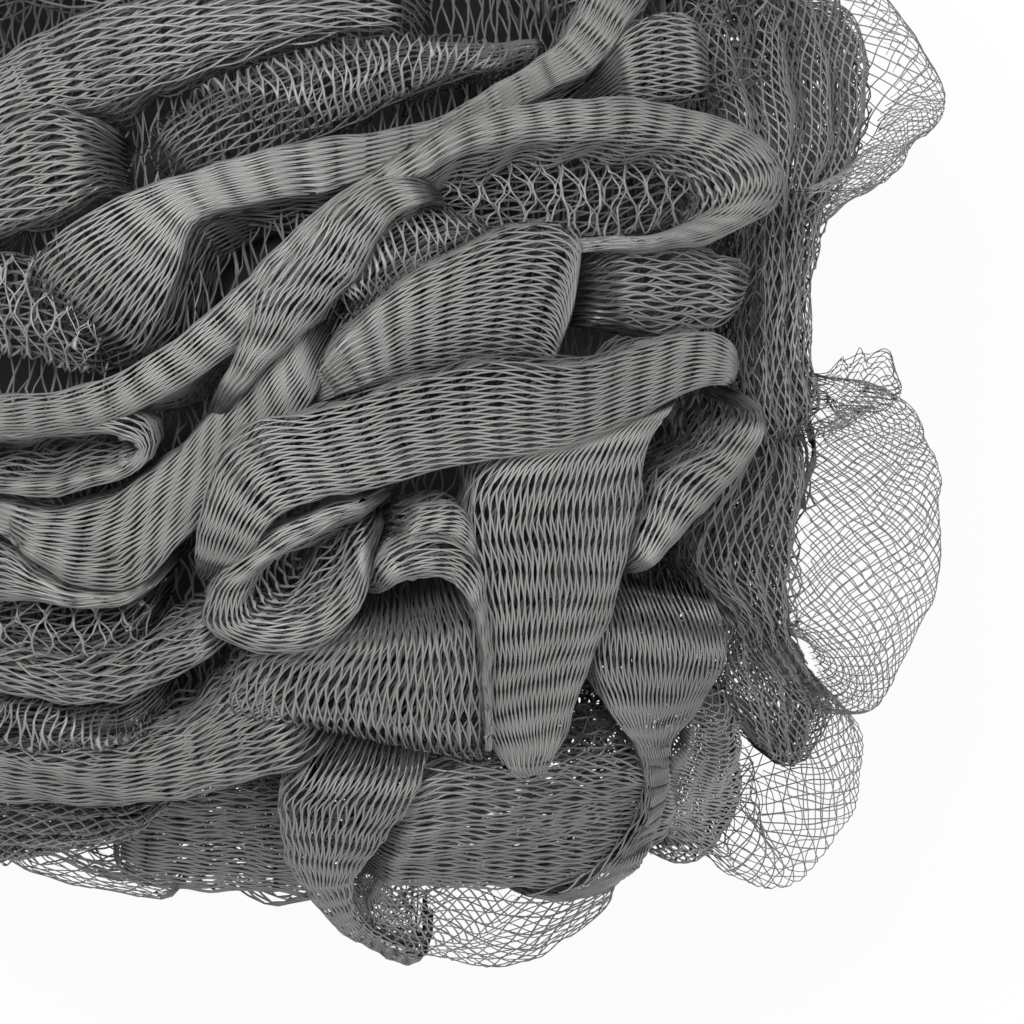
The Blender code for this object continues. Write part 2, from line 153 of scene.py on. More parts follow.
def make_cord_material():
    mat = bpy.data.materials.new("braided_cord")
    mat.use_nodes = True
    tree = mat.node_tree
    shader = tree.nodes["Principled BSDF"]
    shader.inputs["Roughness"].default_value = 0.7
    place = tree.nodes.new("ShaderNodeTexCoord")
    strands = tree.nodes.new("ShaderNodeTexWave")
    strands.bands_direction = 'DIAGONAL'
    strands.inputs["Scale"].default_value = STRAND_SCALE
    tree.links.new(place.outputs["Object"], strands.inputs["Vector"])
    ramp = tree.nodes.new("ShaderNodeValToRGB")
    ramp.color_ramp.elements[0].color = CORD_DARK
    ramp.color_ramp.elements[1].color = CORD_PALE
    tree.links.new(strands.outputs["Fac"], ramp.inputs["Fac"])
    tree.links.new(ramp.outputs["Color"], shader.inputs["Base Color"])
    bump = tree.nodes.new("ShaderNodeBump")
    bump.inputs["Distance"].default_value = STRAND_H
    tree.links.new(strands.outputs["Fac"], bump.inputs["Height"])
    tree.links.new(bump.outputs["Normal"], shader.inputs["Normal"])
    return mat


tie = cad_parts["centre_tie"]
tie.data.materials.clear()
tie.data.materials.append(make_cord_material())

# The imported net: the net is one long tube of extruded polyethylene with a satin shine. Deep in the ball
# it is pressed so tight round the tie that it reads as one dark mass, and this piece is that mass,
# coloured near black as painted shade for the deep inside.
BALL_R = 0.066
MIDDLE = np.array([0.0, 0.0, 0.058])
LIFT_STEP = 0.001
PACKED_R = 0.0505
PACKED_DEPTH = 0.052
PACKED_DENT = 0.3
PACKED_FOLD = 0.03
PACKED_WAVES = (420, 210, 380)
# Near black: painted shade, the same grey net as it looks deep in shadow.
PACKED_SHADE_GREY = (0.035, 0.036, 0.035)

# Where the ball is pressed in: the angle from +X, how far that reaches to each side, how many steps
# of LIFT_STEP deep, and how softly it starts.
DENTS = [(4, 24, 13, 1), (-104, 26, 9, 2), (-45, 70, 12, 2)]

# The net's colour: a cloudy grey, with painted shade that makes it darker where it lies deep in the ball
# and at the rim of each thread, where the round thread turns away.
MOTTLE_SCALE = 60.0
MOTTLE = (0.86, 1.12)
DEEP_R = 0.051
SHALLOW_R = 0.061
DEEP_SHADE_SHARE = 0.16
RIM_SHADE_SHARE = 0.3


def make_net_material(name, colour, roughness):
    mat = bpy.data.materials.new(name)
    mat.use_nodes = True
    tree = mat.node_tree
    shader = tree.nodes["Principled BSDF"]
    shader.inputs["Roughness"].default_value = roughness
    shader.inputs["Specular IOR Level"].default_value = 0.5
    place = tree.nodes.new("ShaderNodeTexCoord")
    cloud = tree.nodes.new("ShaderNodeTexNoise")
    cloud.inputs["Scale"].default_value = MOTTLE_SCALE
    cloud.inputs["Detail"].default_value = 4.0
    tree.links.new(place.outputs["Object"], cloud.inputs["Vector"])
    ramp = tree.nodes.new("ShaderNodeValToRGB")
    for stop, position, share in zip(ramp.color_ramp.elements, (0.3, 0.7), MOTTLE):
        stop.position = position
        stop.color = (*[c * share for c in colour], 1)
    tree.links.new(cloud.outputs["Fac"], ramp.inputs["Fac"])
    # Painted shade: the grey darkens towards the middle of the ball, where the folds lie in shadow.
    from_middle = tree.nodes.new("ShaderNodeVectorMath")
    from_middle.operation = 'DISTANCE'
    from_middle.inputs[1].default_value = tuple(MIDDLE)
    tree.links.new(place.outputs["Object"], from_middle.inputs[0])
    depth = tree.nodes.new("ShaderNodeMapRange")
    depth.inputs["From Min"].default_value = DEEP_R
    depth.inputs["From Max"].default_value = SHALLOW_R
    depth.inputs["To Min"].default_value = DEEP_SHADE_SHARE
    tree.links.new(from_middle.outputs["Value"], depth.inputs["Value"])
    shaded = tree.nodes.new("ShaderNodeVectorMath")
    shaded.operation = 'SCALE'
    tree.links.new(ramp.outputs["Color"], shaded.inputs[0])
    # Painted shade: each thread darkens towards its rim, where the round thread turns away from the
    # light.
    rim = tree.nodes.new("ShaderNodeAttribute")
    rim.attribute_name = "thread_rim_shade"
    rim_shade = tree.nodes.new("ShaderNodeMapRange")
    rim_shade.inputs["From Min"].default_value = 0.2
    rim_shade.inputs["To Min"].default_value = 1.0
    rim_shade.inputs["To Max"].default_value = RIM_SHADE_SHARE
    tree.links.new(rim.outputs["Fac"], rim_shade.inputs["Value"])
    both = tree.nodes.new("ShaderNodeMath")
    both.operation = 'MULTIPLY'
    tree.links.new(depth.outputs["Result"], both.inputs[0])
    tree.links.new(rim_shade.outputs["Result"], both.inputs[1])
    tree.links.new(both.outputs[0], shaded.inputs["Scale"])
    tree.links.new(shaded.outputs[0], shader.inputs["Base Color"])
    return mat


def add_piece(name, bm, mat):
    mesh = bpy.data.meshes.new(name)
    # The rims of the threads, which the net material darkens as painted shade.
    rims = [float(v.is_boundary) for v in bm.verts]
    bm.to_mesh(mesh)
    bm.free()
    mesh.attributes.new("thread_rim_shade", 'FLOAT', 'POINT').data.foreach_set("value", rims)
    mesh.shade_smooth()
    mesh.materials.append(mat)
    piece = bpy.data.objects.new(name, mesh)
    bpy.context.scene.collection.objects.link(piece)
    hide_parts("gathered_net")
    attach(piece, "root")
    return piece


def dent_depth(turn):
    """How far the ball is pressed in at an angle from +X."""
    depth = 0.0
    for angle, reach, deepest, roundness in DENTS:
        off = (np.degrees(turn) - angle + 180) % 360 - 180
        inside = np.abs(off) < reach
        depth = depth + inside * deepest * LIFT_STEP * np.cos(off / reach * math.pi / 2) ** roundness
    return depth


def make_packed_net():
    bm = bmesh.new()
    bmesh.ops.create_icosphere(bm, subdivisions=5, radius=PACKED_R)
    across, bend, down = PACKED_WAVES
    for v in bm.verts:
        if v.co.z < 0:
            v.co.z *= PACKED_DEPTH / PACKED_R
        folds = math.sin(v.co.x * across + 2 * math.sin(v.co.y * bend)) * math.sin(v.co.z * down + 1.0)
        level = (v.co.xy.length / v.co.length) ** 2
        pressed = PACKED_DENT * dent_depth(math.atan2(v.co.y, v.co.x)) * level
        v.co *= 1 + PACKED_FOLD * folds - pressed / v.co.length
        v.co.z += MIDDLE[2]
    add_piece("packed_net", bm, make_net_material("packed_net", PACKED_SHADE_GREY, 0.7))


make_packed_net()

# The folds that the view from above shows. The net is laid over them in real threads: each fold is a
# sheet of diamond mesh that crowns between its two edges, and turns down into the ball at both.
BALL_R_PX = 660
MIDDLE_PX = (289, 312)
PX = BALL_R / BALL_R_PX
RIM_DROOP = 0.6
CROWN_SHARE = 0.4
END_DIP = 0.005
END_SHARE = 0.12
SKIRT = 0.009
UNDERCUT = -0.22
SKIRT_ROWS = 0.6
PLEAT_H = 0.0008
RIPPLE_L = 0.0085
RIPPLE_H = 0.0007
BUNCH_H = 0.00014
BUNCH_SHARE = 0.66
BUNCH_OVER = 0.25
THREAD_ROUND = 1.1
MOST_TRIM = 0.42
LEAST_SINE = 0.2

# How the soft net drifts off its place: how long one sway is, and how far it goes.
FOLD_SWAY = (0.021, 0.0004)
FOLD_SHIVER = (0.006, 0.00012)
LOBE_SWAY = (0.017, 0.0005)
THREAD_SWAY_L = 0.0052

# The lining is the next layer of the net, close under a fold.
LINING_DROP = 0.0012
LINING_SKIRT = 0.004
LINING_WIDER = 1.05

# An open lobe runs out to its rim, turns round a thin crest and comes back underneath.
LOBE_DEPTH = 0.006
LOBE_CREST = 0.0009
LOBE_TURN = 0.09
LOBE_SWELL = 0.0012
LOBE_RIPPLE_H = 0.0006

# How each kind of fold looks: its cell along and across, half of its thread's width, its crown, how
# flat that crown is, how unevenly its threads lie, how many pleats run along it, how many points bend
# a thread between two crossings, how far it swings there, and how far the net is pulled askew.
DENSE = (0.0072, 0.00066)
KINDS = {
    "face": (DENSE, 0.000118, 0.0007, 6, 0.00010, 0, 2, 0.2, 0.8),
    "band": (DENSE, 0.000118, 0.0013, 2.5, 0.00010, 0, 2, 0.2, -0.7),
    "panel": ((0.0072, 0.0010), 0.00012, 0.0008, 6, 0.00020, 0, 2, 0.4, 0.9),
    "veil": ((0.0034, 0.0012), 0.00011, 0.0010, 2, 0.00016, 3, 1, 0, 0.3),
    "cross": ((0.0010, 0.0066), 0.000115, 0.0018, 2, 0.00016, 0, 2, 0.5, 0),
    "hoops": ((0.0011, 0.0072), 0.000115, 0.0036, 2, 0.00040, 0, 4, 0.9, 0.1),
    "lining": ((0.0066, 0.0010), 0.000125, 0.0012, 2, 0.00016, 0, 1, 0.3, -1.0),
    "curly": ((0.0027, 0.0060), 0.000118, 0.0016, 2, 0.00045, 0, 4, 1.0, 0),
    "pocket": ((0.0072, 0.0008), 0.00012, 0.0004, 4, 0.00010, 0, 2, 0.3, 0.5),
    "lobe": ((0.0018, 0.0017), 0.000068, 0.0010, 2, 0.00016, 0, 1, 0, 0),
    "dense_lobe": ((0.0034, 0.0013), 0.000085, 0.0010, 2, 0.00016, 0, 1, 0.3, 0.3),
}

# The folds whose inner walls show: how far the foot of each of the two skirts stands out.
SPREADS = {
    "scroll": (-0.22, 0.55), "left_loop": (-0.22, 0.4), "eye_band": (-0.22, 0.15),
    "upper_left_face": (-0.22, 0.3), "arch": (-0.1, 0.2), "curtain_top": (-0.2, 0.2),
}

# The folds, from the middle of the ball outwards: name, kind, how many steps of LIFT_STEP its two
# edges lie above the ball, and its stations. A station is a pixel on each edge.
TRACED_FOLDS = [
    ("curls_left", "curly", -2, -3, [
        (-90, 262, -90, 330), (-30, 258, -30, 345), (30, 262, 35, 360), (80, 290, 75, 372),
        (125, 330, 105, 378)]),
    ("upper_left_face", "face", 2, -1, [
        (10, 300, 95, 368), (45, 255, 150, 345), (100, 212, 183, 290), (165, 182, 205, 228),
        (250, 156, 275, 208), (330, 142, 335, 196), (400, 130, 400, 168), (465, 106, 468, 142),
        (520, 76, 532, 110), (562, 40, 590, 76), (592, -10, 632, 26), (610, -90, 680, -50)]),
    ("pocket_wall", "pocket", -3, -11, [
        (172, 352, 205, 352), (180, 290, 218, 300), (200, 228, 238, 262), (262, 206, 282, 242),
        (330, 195, 340, 226), (395, 166, 398, 196)]),
    ("eye_band", "band", 5, 4, [
        (-120, 420, -110, 470), (0, 402, 0, 447), (100, 383, 118, 425), (190, 335, 225, 365),
        (260, 275, 285, 310), (330, 212, 348, 232), (400, 163, 410, 190), (480, 123, 490, 158),
        (600, 100, 600, 142), (690, 114, 680, 152), (755, 140, 715, 172), (783, 185, 728, 198),
        (760, 225, 705, 218), (690, 246, 650, 235), (600, 253, 585, 240), (540, 258, 530, 243)]),
    ("eye_inside", "curly", -4, -4, [
        (385, 195, 395, 205), (450, 168, 470, 228), (540, 150, 560, 240), (640, 150, 650, 236),
        (715, 178, 712, 210)]),
    ("arch", "band", 6, 4, [
        (208, 424, 218, 430), (232, 378, 252, 392), (250, 340, 294, 354), (266, 302, 332, 314),
        (292, 262, 358, 285), (325, 216, 378, 250), (370, 186, 402, 222), (418, 182, 432, 212),
        (455, 192, 460, 208)]),
    ("arch_net", "hoops", 0, -1, [
        (322, 300, 345, 340), (348, 250, 372, 312), (385, 214, 405, 290), (430, 212, 448, 268),
        (468, 222, 480, 250), (500, 236, 503, 244)]),
    ("under_arch", "band", -3, -4, [
        (185, 530, 228, 540), (212, 470, 255, 480), (255, 415, 290, 430), (300, 370, 325, 380),
        (345, 315, 375, 335), (385, 262, 430, 290), (440, 228, 480, 262), (500, 240, 520, 246)]),
    ("pointed_lobe", "face", 4, -1, [
        (288, 415, 300, 420), (330, 355, 350, 395), (390, 300, 400, 382), (450, 262, 445, 372),
        (510, 235, 490, 364), (560, 229, 520, 360), (580, 248, 540, 361), (577, 300, 553, 362),
        (566, 358, 562, 366)]),
    ("open_tip_lobe", "panel", 0, -2, [
        (575, 275, 580, 325), (610, 258, 620, 330), (650, 250, 660, 334), (700, 252, 700, 331),
        (740, 263, 730, 318), (757, 280, 752, 290)]),
    ("long_strip", "face", 6, 5, [
        (190, 590, 215, 600), (205, 525, 262, 548), (242, 432, 300, 512), (330, 407, 370, 490),
        (420, 381, 440, 473), (500, 364, 510, 461), (580, 364, 585, 446), (650, 346, 640, 422),
        (705, 336, 690, 396), (745, 355, 735, 387), (757, 388, 750, 392)]),
    ("tongue", "band", 3, 2, [
        (752, 388, 742, 392), (760, 410, 742, 412), (748, 455, 712, 447), (712, 503, 662, 480),
        (668, 550, 640, 525), (616, 584, 612, 580)]),
    ("hanging_lobe", "face", 4, 4, [
        (600, 430, 705, 390), (545, 443, 668, 412), (497, 463, 651, 452), (473, 510, 640, 505),
        (480, 580, 620, 575), (487, 655, 600, 640), (488, 725, 575, 705), (500, 764, 552, 752),
        (522, 781, 538, 776), (530, 796, 535, 794)]),
    ("left_panel", "panel", 1, 3, [
        (330, 625, 470, 585), (285, 645, 485, 630), (245, 672, 487, 690), (232, 700, 488, 740),
        (245, 718, 492, 777)]),
    ("rolled_edge", "band", 7, 6, [
        (372, 600, 374, 610), (380, 560, 398, 583), (410, 540, 425, 576), (450, 540, 447, 577),
        (475, 560, 463, 592), (488, 600, 477, 622), (492, 680, 484, 690), (498, 776, 492, 772)]),
    ("panel_top", "band", 3, 3, [
        (392, 520, 376, 575), (420, 505, 400, 548), (455, 502, 440, 540), (472, 520, 465, 548),
        (482, 560, 478, 575)]),
    ("scroll", "band", 5, 4, [
        (400, 492, 405, 500), (350, 508, 355, 520), (290, 530, 305, 545), (240, 560, 268, 565),
        (210, 590, 250, 590), (212, 625, 253, 612), (240, 645, 275, 618), (280, 652, 300, 610),
        (325, 640, 325, 592), (355, 612, 345, 570), (372, 570, 365, 545), (392, 525, 385, 520)]),
    ("left_loop", "band", 4, 3, [
        (-100, 430, -100, 450), (0, 415, 0, 445), (60, 403, 60, 437), (115, 403, 105, 432),
        (150, 418, 132, 438), (163, 442, 147, 448), (150, 468, 135, 460), (105, 487, 100, 470),
        (50, 500, 50, 480), (0, 497, 0, 480), (-100, 480, -100, 468)]),
    ("smile_1", "band", 1, 2, [
        (-110, 480, -110, 520), (0, 502, 0, 535), (50, 512, 35, 562), (105, 502, 80, 588),
        (155, 474, 130, 588), (205, 428, 185, 550), (240, 385, 245, 485), (285, 340, 300, 420),
        (322, 290, 345, 350)]),
    ("smile_2", "band", 1, 1, [
        (-100, 530, -100, 590), (0, 548, 0, 600), (40, 574, 50, 602), (85, 590, 100, 606),
        (135, 588, 148, 596), (178, 565, 182, 575)]),
    ("curly_1", "curly", -3, -3, [
        (-90, 600, -90, 650), (0, 602, 0, 652), (60, 607, 60, 662), (120, 606, 115, 655),
        (172, 588, 165, 625)]),
    ("smile_3", "panel", 0, 0, [
        (-90, 655, -90, 690), (0, 657, 0, 692), (60, 666, 60, 702), (120, 657, 120, 697),
        (180, 634, 185, 672), (240, 612, 250, 640)]),
    ("curly_2", "hoops", -2, -2, [
        (-90, 700, -90, 748), (0, 703, 0, 750), (60, 707, 60, 750), (120, 702, 120, 743),
        (175, 690, 170, 718)]),
    ("smile_4", "panel", 1, 1, [
        (-80, 757, -80, 800), (0, 754, 0, 802), (70, 754, 70, 806), (140, 744, 140, 802),
        (200, 720, 200, 795), (245, 690, 260, 778), (300, 655, 345, 750)]),
    ("left_veil", "veil", -5, -5, [
        (-80, 800, -80, 880), (0, 800, 0, 868), (60, 800, 40, 858), (130, 802, 90, 842),
        (200, 800, 160, 818)]),
    ("left_lobe", "dense_lobe", -12, -12, [
        (-50, 800, -50, 850), (10, 812, 25, 868), (70, 826, 92, 893), (130, 850, 150, 898),
        (178, 876, 192, 894)]),
    ("bottom_veil", "panel", -9, -12, [
        (80, 790, 105, 862), (140, 790, 140, 890), (200, 792, 200, 897), (260, 792, 260, 898),
        (320, 795, 340, 902)]),
    ("fold_edge", "face", 3, 2, [
        (352, 758, 440, 762), (305, 785, 422, 788), (283, 805, 398, 818), (281, 840, 375, 848),
        (293, 875, 358, 878), (318, 908, 352, 900), (348, 935, 362, 918), (388, 958, 394, 946),
        (440, 969, 440, 961)]),
    ("curtain_top", "panel", 0, -1, [
        (375, 812, 345, 885), (440, 775, 425, 888), (520, 768, 505, 892), (600, 760, 590, 880),
        (660, 765, 655, 850), (700, 790, 690, 820)]),
    ("curtain_back", "pocket", -3, -4, [
        (380, 790, 365, 872), (440, 770, 430, 880), (520, 765, 510, 884), (600, 760, 592, 872),
        (650, 765, 648, 845)]),
    ("curtain_rim", "dense_lobe", -13, -1, [
        (358, 872, 352, 912), (430, 875, 392, 948), (505, 880, 470, 970), (580, 868, 560, 945),
        (640, 835, 640, 885)]),
    ("gathered_lobe", "face", 2, 2, [
        (612, 586, 738, 610), (595, 655, 726, 660), (607, 712, 703, 705), (638, 745, 676, 742),
        (647, 790, 666, 782), (640, 830, 664, 815), (608, 866, 650, 848), (555, 895, 622, 885),
        (490, 915, 560, 930)]),
    ("gathered_back", "pocket", -2, -2, [
        (615, 590, 735, 615), (600, 655, 724, 662), (612, 712, 700, 708)]),
    ("roll_right", "cross", -2, -2, [
        (690, 690, 725, 680), (690, 740, 742, 730), (668, 775, 747, 780), (665, 810, 742, 820),
        (670, 850, 715, 858), (650, 880, 680, 890)]),
    ("veil_top_right", "veil", -11, -12, [
        (690, -40, 860, -30), (700, 60, 880, 60), (735, 130, 870, 140), (760, 230, 822, 215),
        (752, 330, 808, 290), (755, 400, 812, 350), (780, 480, 835, 435)]),
    ("lobe_a", "lobe", -11, -1, [
        (800, -90, 850, -80), (845, -20, 885, -5), (880, 40, 930, 55), (885, 100, 952, 100),
        (860, 150, 905, 158), (828, 196, 841, 209)]),
    ("right_mass", "veil", -12, -12, [
        (760, 390, 830, 425), (720, 470, 805, 500), (690, 560, 800, 580), (735, 620, 800, 650),
        (732, 690, 838, 705), (762, 742, 818, 748), (786, 770, 794, 770)]),
    ("lobe_b", "lobe", -16, -2, [
        (840, 420, 893, 385), (805, 455, 930, 430), (800, 520, 947, 500), (790, 590, 938, 590),
        (806, 656, 900, 661), (820, 702, 868, 734)]),
    ("loop_b", "lobe", -16, -4, [
        (822, 375, 828, 428), (850, 362, 850, 420), (885, 362, 880, 405), (893, 395, 885, 420)]),
    ("lobe_c", "lobe", -3, -3, [
        (843, 687, 859, 703), (805, 755, 866, 790), (775, 770, 848, 842), (745, 785, 800, 888),
        (725, 815, 745, 890), (700, 850, 705, 872)]),
    ("top_left_loops", "hoops", 0, 0, [
        (120, 150, 150, 172), (180, 110, 215, 160), (250, 75, 275, 148), (330, 50, 340, 125),
        (420, 42, 410, 95), (500, 40, 480, 75), (570, 20, 570, 55)]),
    ("top_left_face", "panel", 1, 0, [
        (-60, 190, -60, 260), (0, 140, 0, 235), (60, 115, 60, 215), (120, 130, 130, 185)]),
    ("top_left_band", "panel", 0, 0, [
        (-80, 130, -60, 170), (0, 70, 20, 125), (90, 20, 110, 105), (200, -20, 200, 70),
        (320, -40, 320, 40), (440, -50, 440, 30)]),
    ("top_fold", "face", 0, -2, [
        (590, 75, 600, 105), (640, 20, 650, 100), (690, 15, 700, 95), (715, 60, 712, 85)]),
]


def on_ball(px, py, lift):
    """A point of the view from above, set on the ball and raised by its lift."""
    x = (px - MIDDLE_PX[0]) * PX
    y = (MIDDLE_PX[1] - py) * PX
    radius = math.hypot(x, y)
    height = math.sqrt(max(BALL_R**2 - radius**2, 0.0)) - max(radius - BALL_R, 0.0) * RIM_DROOP
    return np.array([x, y, MIDDLE[2] + height + lift * LIFT_STEP])


def traced_edges(lift_a, lift_b, stations):
    """The two edges of a traced fold, which draw together in height where it narrows."""
    widths = [math.dist(s[:2], s[2:]) for s in stations]
    lifts = [lift_b + (lift_a - lift_b) * w / max(widths) for w in widths]
    return ([on_ball(s[0], s[1], lift) for s, lift in zip(stations, lifts)],
            [on_ball(s[2], s[3], lift_b) for s in stations])


def smooth_curve(points, per_span=16):
    """Places along a Catmull-Rom curve through the points."""
    p = np.array(points)
    p = np.vstack([p[0], p, p[-1]])
    u = np.linspace(0, 1, per_span, endpoint=False)[:, None]
    runs = []
    for p0, p1, p2, p3 in zip(p, p[1:], p[2:], p[3:]):
        runs.append(0.5 * (2 * p1 + (p2 - p0) * u + (2 * p0 - 5 * p1 + 4 * p2 - p3) * u**2
                           + (3 * p1 - p0 - 3 * p2 + p3) * u**3))
    return np.vstack([*runs, p[-1:]])


def unit(rows):
    return rows / np.maximum(np.linalg.norm(rows, axis=-1, keepdims=True), 1e-9)


def along_fold(edge_a, edge_b, u):
    """The two edges and the direction of a fold, read at any share of the way along."""
    a_line, b_line = smooth_curve(edge_a), smooth_curve(edge_b)
    middle = (a_line + b_line) / 2
    share = np.concatenate([[0], np.cumsum(np.linalg.norm(np.diff(middle, axis=0), axis=1))])
    lines = (a_line, b_line, unit(np.gradient(middle, axis=0)))
    return share[-1], [np.stack([np.interp(u * share[-1], share, rows[:, k]) for k in range(3)], axis=1)
                       for rows in lines]


def wobble(places, size, reach, seed):
    """A smooth uneven drift of soft net, the same on each run."""
    x, y, z = (places * 2 * math.pi / size).T
    drift = [np.sin(x * 0.9 + 1.7 * np.sin(y * 0.7 + seed) + s)
             + np.sin(z * 1.1 + y * 0.6 + 2.3 * s + seed) for s in (0.3, 2.1, 4.4)]
    return reach * 0.5 * np.stack(drift, axis=1)


def end_dip(u):
    return END_DIP * np.maximum(0, 1 - np.minimum(u, 1 - u) / END_SHARE)[:, None] ** 2


def fold_places(edge_a, edge_b, u, q, rows, crown, flatness, skirt, spreads, drop, wider, pleats, seed):
    """Where a flat sheet's points lie once it is laid over a fold. u runs along the fold from 0 to 1,
    and q across it from -1 to 1, with the two turned-down skirts outside the crowned back."""
    run, (a, b, forward) = along_fold(edge_a, edge_b, u)
    mid, half = (a + b) / 2, (b - a) / 2 * wider
    out = unit(mid - MIDDLE)
    up = unit(np.cross(forward, half))
    up *= np.sign((up * out).sum(1, keepdims=True))
    reach = np.linalg.norm(half, axis=1, keepdims=True)
    height = np.minimum(crown, 2 * CROWN_SHARE * reach)
    rim = reach.max() / (reach.max() + skirt * SKIRT_ROWS)
    across = np.clip(q / rim, -1, 1)[:, None]
    places = mid + half * across + up * height * (1 - np.abs(across) ** flatness)
    if pleats:
        places += up * PLEAT_H * np.sin(across * 4 * pleats + 1.5 * np.sin(u * 9 + seed)[:, None])
    bunched = np.clip((BUNCH_SHARE - reach / reach.max()) / BUNCH_OVER, 0, 1)
    places += out * bunched * BUNCH_H * np.cos(math.pi * rows * (q + 1) / 2)[:, None]
    part = np.clip((np.abs(q) - rim) / (1 - rim), 0, 1.5)[:, None]
    deep = part * skirt
    spread = np.where(q < 0, spreads[0], spreads[1])[:, None]
    side = unit(half) * np.sign(q)[:, None]
    ripple = np.sin(u * run / RIPPLE_L * 2 * math.pi + seed)[:, None]
    slant = np.minimum(part, 1)
    places += (-up * (1 - slant) - out * slant) * deep + side * (deep * spread + ripple * part * RIPPLE_H)
    places -= out * (end_dip(u) + drop)
    return places + wobble(places, *FOLD_SWAY, seed) + wobble(places, *FOLD_SHIVER, seed)


def lobe_places(edge_a, edge_b, u, q, seed):
    """The same for an open lobe: out from the first edge, round the rim and back underneath."""
    _, (a, b, forward) = along_fold(edge_a, edge_b, u)
    side = unit(b - a)
    up = unit(np.cross(forward, side))
    up *= np.sign(up[:, 2:])
    far = np.abs(q)[:, None]
    face = np.where(q > 0, -1.0, 1.0)[:, None]
    turn = np.clip(far / LOBE_TURN, 0, 1) * math.pi / 2
    back = np.clip((far - LOBE_TURN) / (1 - LOBE_TURN), 0, 1)
    ripple = np.sin(u * 23 + q * 4 + seed)[:, None]
    swell = np.sin(back * math.pi) * LOBE_SWELL + LOBE_RIPPLE_H * ripple * back
    away = np.linalg.norm(b - a, axis=1, keepdims=True) - LOBE_CREST
    places = b - side * (LOBE_CREST * (1 - np.cos(turn)) + away * back)
    places += up * face * (LOBE_CREST * np.sin(turn) + swell)
    places -= up * (face < 0) * back * LOBE_DEPTH
    places -= unit((a + b) / 2 - MIDDLE) * end_dip(u)
    return places + wobble(places, *LOBE_SWAY, seed)


def leave_threads(bm, thread):
    """Cuts each hole of a net back from its rim, which leaves half of a thread on each side of it."""
    holes = bm.faces[:]
    corners = np.array([[v.co[:] for v in hole.verts] for hole in holes])
    count = corners.shape[1]
    ahead = unit(np.roll(corners, -1, axis=1) - corners)
    behind = unit(np.roll(corners, 1, axis=1) - corners)
    face_up = unit(np.cross(corners[:, count // 2] - corners[:, 0],
                            corners[:, count * 3 // 4] - corners[:, count // 4]))
    square = unit(np.cross(face_up[:, None], unit(ahead - behind)))
    sine = (square * np.cross(face_up[:, None], ahead)).sum(2, keepdims=True)
    step = square * thread / np.maximum(sine, LEAST_SINE)
    inward = corners.mean(axis=1, keepdims=True) - corners
    most = MOST_TRIM * np.linalg.norm(inward, axis=2, keepdims=True)
    step *= np.minimum(1, most / np.maximum(np.linalg.norm(step, axis=2, keepdims=True), 1e-9))
    rims = corners + step - face_up[:, None] * thread * THREAD_ROUND
    bmesh.ops.inset_individual(bm, faces=holes, thickness=0.0, depth=0.0)
    for hole, rim in zip(holes, rims):
        for v, place in zip(hole.verts, rim):
            v.co = place
    bmesh.ops.delete(bm, geom=holes, context='FACES_ONLY')


def swung(halves, swing):
    """Threads that run together at each crossing and swing over between two crossings."""
    return halves - swing * np.sin(2 * math.pi * halves) / (2 * math.pi)


def net_sheet(whole, length, width, kind, place, seed):
    """Adds a sheet of diamond net as real threads. A flat grid is poked and its own edges are
    dissolved, which leaves diamonds; they are laid in place, and only their rims are kept."""
    cell, thread, _, _, uneven, _, bends, swing, askew = kind
    bm = bmesh.new()
    columns, rows = max(3, round(length / cell[0])), max(3, round(width / cell[1]))
    bmesh.ops.create_grid(bm, x_segments=columns, y_segments=rows, size=0.5)
    inner = [e for e in bm.edges if not e.is_boundary]
    bmesh.ops.poke(bm, faces=bm.faces[:])
    bmesh.ops.dissolve_edges(bm, edges=inner, use_verts=False, use_face_split=False)
    bmesh.ops.delete(bm, geom=[f for f in bm.faces if len(f.verts) == 3], context='FACES')
    if bends:
        bmesh.ops.subdivide_edges(bm, edges=bm.edges[:], cuts=bends)
    flat = np.array([v.co[:2] for v in bm.verts]) + 0.5
    k, count = (1, rows) if cell[0] > cell[1] else (0, columns)
    flat[:, k] = swung(flat[:, k] * 2 * count, swing) / (2 * count)
    flat[:, 1] += askew * (flat[:, 0] - 0.5) * columns / rows
    laid = place(flat[:, 0], flat[:, 1] * 2 - 1, rows)
    laid += wobble(laid, THREAD_SWAY_L, uneven, seed)
    for v, p in zip(bm.verts, laid):
        v.co = p
    bm.normal_update()
    if sum(f.normal.dot(f.calc_center_median() - Vector(MIDDLE)) for f in bm.faces) < 0:
        bmesh.ops.reverse_faces(bm, faces=bm.faces[:])
    leave_threads(bm, thread)
    mesh = bpy.data.meshes.new("part")
    bm.to_mesh(mesh)
    bm.free()
    whole.from_mesh(mesh)
    bpy.data.meshes.remove(mesh)
    return length * width


def fold_sizes(edge_a, edge_b):
    """How long a fold is, and how wide its sheet is cut: halfway from its usual to its widest."""
    length = max(np.linalg.norm(np.diff(smooth_curve(e), axis=0), axis=1).sum() for e in (edge_a, edge_b))
    widths = [np.linalg.norm(a - b) for a, b in zip(edge_a, edge_b)]
    return length, (max(widths) + np.mean(widths)) / 2


def lay_fold(whole, edge_a, edge_b, kind, seed, skirt=SKIRT, spreads=(UNDERCUT, UNDERCUT), drop=0.0,
             wider=1.0):
    _, _, crown, flatness, _, pleats, _, _, _ = kind
    length, width = fold_sizes(edge_a, edge_b)
    return net_sheet(whole, length, width * wider + 2 * skirt * SKIRT_ROWS, kind,
                     lambda u, q, rows: fold_places(edge_a, edge_b, u, q, rows, crown, flatness, skirt,
                                                    spreads, drop, wider, pleats, seed), seed)


